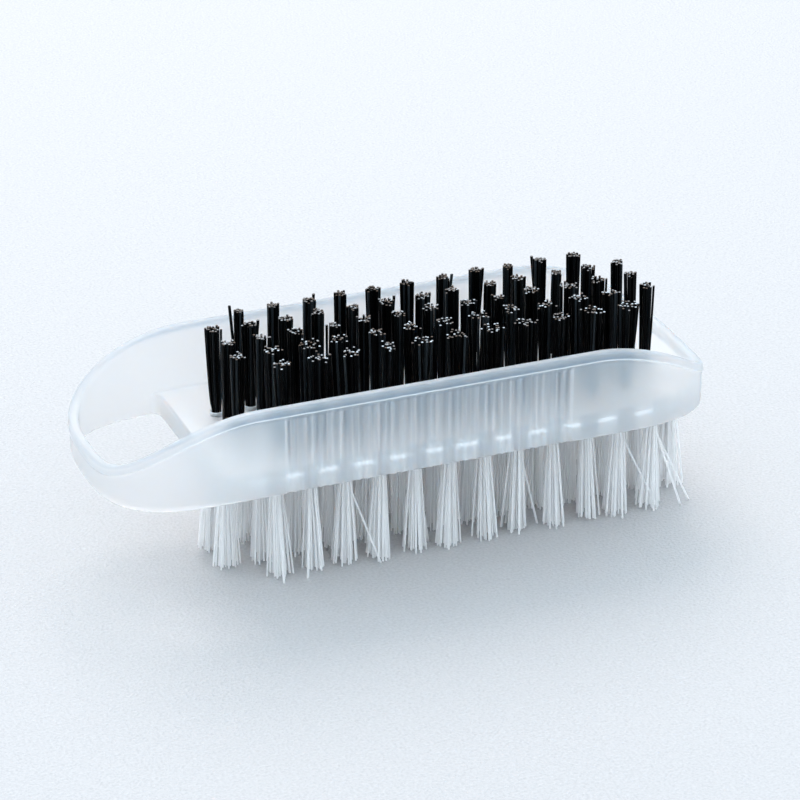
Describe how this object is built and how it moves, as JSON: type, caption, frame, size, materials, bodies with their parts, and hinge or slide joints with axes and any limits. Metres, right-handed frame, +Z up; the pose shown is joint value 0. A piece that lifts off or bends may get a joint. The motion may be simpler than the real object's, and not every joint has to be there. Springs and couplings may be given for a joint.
{
  "type": "nail brush",
  "caption": "Nail brush with a frosted translucent body and hand loop, ribbed grips, short black bristle tufts on top and longer white tufts underneath.",
  "frame": {"origin": "under the middle of the body, on the surface that the white tufts stand on", "axes": "+X along the body from the hand loop to the closed end, +Y across it, +Z up towards the black tufts"},
  "size_m": [0.089, 0.031, 0.0324],
  "materials": {
    "frosted_plastic": "frosted translucent polypropylene, soft sheen",
    "black_nylon": "satin black filament",
    "white_nylon": "satin milky filament"
  },
  "bodies": {
    "root": {"body": "frosted_plastic", "black_row_1": "black_nylon", "black_row_2": "black_nylon", "black_row_3": "black_nylon", "black_row_4": "black_nylon", "black_row_5": "black_nylon", "white_row_1": "white_nylon", "white_row_2": "white_nylon", "white_row_3": "white_nylon", "white_row_4": "white_nylon"}
  },
  "joints": []
}
